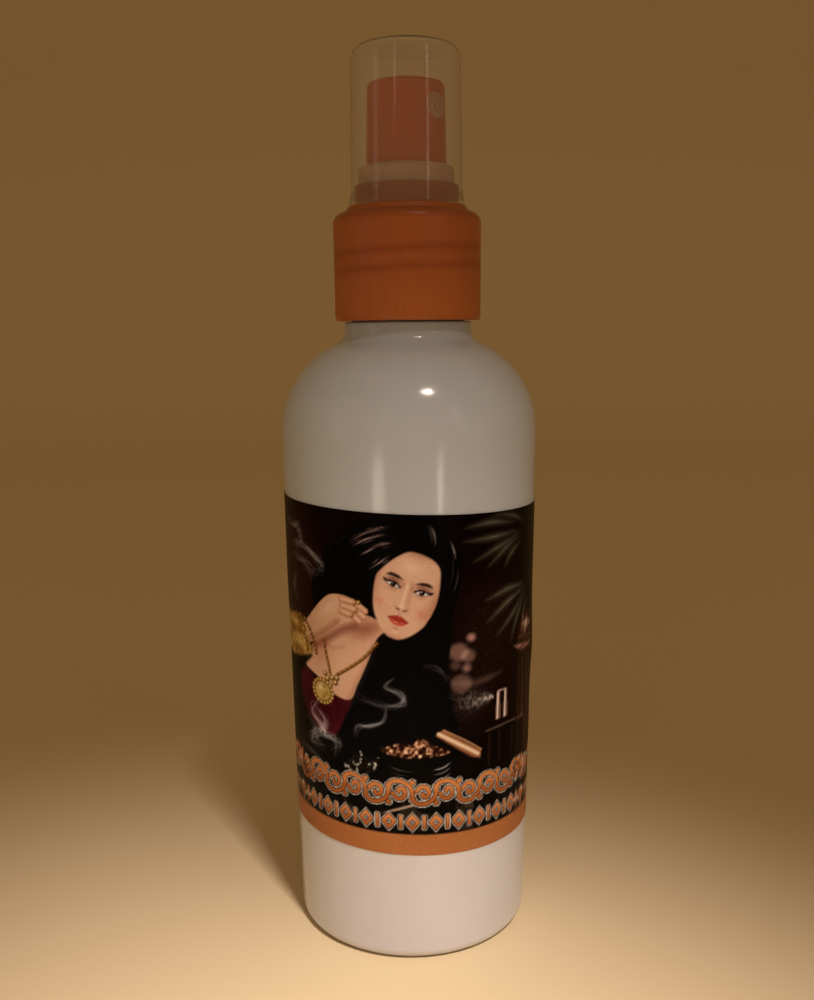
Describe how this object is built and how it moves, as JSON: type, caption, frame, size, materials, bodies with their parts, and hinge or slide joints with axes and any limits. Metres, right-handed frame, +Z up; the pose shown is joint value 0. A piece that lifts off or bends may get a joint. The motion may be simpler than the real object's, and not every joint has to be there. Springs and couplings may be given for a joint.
{
  "type": "spray bottle",
  "caption": "Round fine-mist spray bottle with rounded shoulders, a printed sleeve label, ribbed screw closure, finger pump with dip tube and a clear overcap.",
  "frame": {"origin": "centre of the bottle's base, on the surface that it stands on", "axes": "+Z up along the bottle's axis; -Y towards the label's front"},
  "size_m": [0.0501, 0.0502, 0.1724],
  "materials": {
    "bottle_plastic": "milky, slightly see-through, satin gloss",
    "label_film": "printed film, satin",
    "closure_plastic": "see-through orange, glossy",
    "gasket_foam": "matt foam",
    "natural_plastic": "natural, satin",
    "chaplet_plastic": "milky, warm, satin",
    "tube_plastic": "clear, glossy",
    "spring_steel": "bright",
    "piston_plastic": "soft, matt",
    "ball_steel": "polished",
    "actuator_plastic": "see-through orange, glossy",
    "nozzle_plastic": "satin",
    "overcap_plastic": "clear, glossy"
  },
  "bodies": {
    "bottle": {"bottle": "bottle_plastic", "label": "label_film"},
    "pump": {"pump_housing": "natural_plastic", "chaplet": "chaplet_plastic", "gasket": "gasket_foam", "dip_tube": "tube_plastic", "return_spring": "spring_steel"},
    "closure": {"closure": "closure_plastic"},
    "overcap": {"overcap": "overcap_plastic"},
    "plunger": {"stem": "natural_plastic", "piston": "piston_plastic", "valve_seat": "natural_plastic", "valve_spring": "spring_steel"},
    "outlet_valve": {"poppet": "natural_plastic"},
    "inlet_valve": {"inlet_ball": "ball_steel"},
    "actuator": {"actuator": "actuator_plastic", "nozzle_insert": "nozzle_plastic"}
  },
  "joints": [
    {"name": "pump_rise", "type": "slide", "parent": "bottle", "child": "pump", "axis": [0, 0, 1], "range_m": [0, 0.00476]},
    {"name": "closure_turn", "type": "hinge", "parent": "pump", "child": "closure", "pos_m": [0, 0, 0.134], "axis": [0, 0, 1], "range_deg": [0, 540]},
    {"name": "overcap_lift", "type": "slide", "parent": "closure", "child": "overcap", "axis": [0, 0, 1], "range_m": [0, 0.045]},
    {"name": "actuator_press", "type": "slide", "parent": "pump", "child": "plunger", "axis": [0, 0, -1], "range_m": [0, 0.0055], "stiffness_N_per_m": 900, "deforming": ["return_spring"]},
    {"name": "actuator_turn", "type": "hinge", "parent": "plunger", "child": "actuator", "pos_m": [0, 0, 0.157], "axis": [0, 0, 1], "continuous": true},
    {"name": "outlet_valve_open", "type": "slide", "parent": "plunger", "child": "outlet_valve", "axis": [0, 0, 1], "range_m": [0, 0.0006], "stiffness_N_per_m": 200, "deforming": ["valve_spring"]},
    {"name": "inlet_valve_open", "type": "slide", "parent": "pump", "child": "inlet_valve", "axis": [0, 0, 1], "range_m": [0, 0.001]}
  ],
  "couplings": [
    {"joint": "closure_turn", "follows": "pump_rise", "rad_per_m": 1979}
  ]
}
